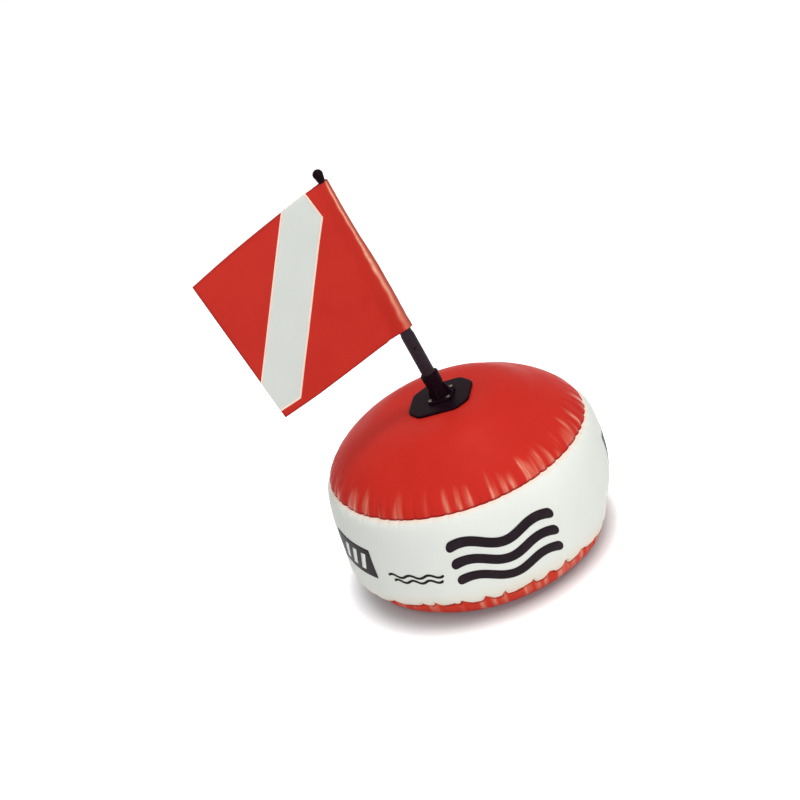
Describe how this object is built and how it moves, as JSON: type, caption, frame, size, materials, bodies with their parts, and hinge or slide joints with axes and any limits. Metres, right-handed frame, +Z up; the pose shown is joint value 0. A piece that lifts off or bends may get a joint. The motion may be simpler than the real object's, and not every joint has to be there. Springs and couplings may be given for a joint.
{
  "type": "dive flag float",
  "caption": "Round inflatable surface float for divers, with a plug-in mast, a swinging diver-down flag, a ring for the line and an air valve.",
  "frame": {"origin": "centre of the flat underside that the float stands on, on the float's own axis", "axes": "+Z up along the float's axis, the front with the printed band faces -Y, the mast leans to -X, and the valve is at the back, +Y"},
  "size_m": [0.3931, 0.3546, 0.5448],
  "materials": {
    "red_vinyl": "soft gloss welded vinyl",
    "white_vinyl": "soft gloss welded vinyl",
    "black_moulding": "satin moulded plastic",
    "black_tube": "satin tube",
    "white_rod": "satin glass-fibre rod",
    "flag_cloth": "coated flag cloth, red with a white diagonal stripe",
    "clear_vinyl": "soft milky vinyl",
    "steel": "stainless wire",
    "dark_steel": "dark screws",
    "lead": "dull cast disc"
  },
  "bodies": {
    "float": {"top_panel": "red_vinyl", "side_band": "white_vinyl", "bottom_panel": "red_vinyl", "base_plate": "black_moulding", "mast_socket": "black_moulding", "socket_screw_1": "dark_steel", "socket_screw_2": "dark_steel", "socket_screw_3": "dark_steel", "socket_screw_4": "dark_steel", "valve_body": "clear_vinyl", "line_patch": "black_moulding", "ballast_weight": "lead", "ballast_pocket": "clear_vinyl"},
    "mast": {"mast_tube": "black_tube", "mast_rod": "white_rod", "mast_pin": "dark_steel", "mast_cap": "black_moulding"},
    "flag": {"flag": "flag_cloth"},
    "valve_cap": {"valve_cap": "clear_vinyl"},
    "valve_flap": {"valve_flap": "clear_vinyl"},
    "line_ring": {"line_ring": "steel"}
  },
  "joints": [
    {"name": "mast_pull", "type": "slide", "parent": "float", "child": "mast", "axis": [-0.1469, 0, 0.9891], "range_m": [0, 0.045]},
    {"name": "flag_swing", "type": "hinge", "parent": "mast", "child": "flag", "pos_m": [0.003, -0.002, 0.2243], "axis": [-0.1469, 0, 0.9891], "continuous": true},
    {"name": "valve_cap_hinge", "type": "hinge", "parent": "float", "child": "valve_cap", "pos_m": [0, 0.1785, 0.109], "axis": [1, 0, 0], "range_deg": [0, 150]},
    {"name": "valve_flap_hinge", "type": "hinge", "parent": "float", "child": "valve_flap", "pos_m": [0, 0.16195, 0.1036], "axis": [-1, 0, 0], "range_deg": [0, 60]},
    {"name": "line_ring_hinge", "type": "hinge", "parent": "float", "child": "line_ring", "pos_m": [0, 0, 0.007], "axis": [1, 0, 0], "range_deg": [-165, 14]}
  ]
}
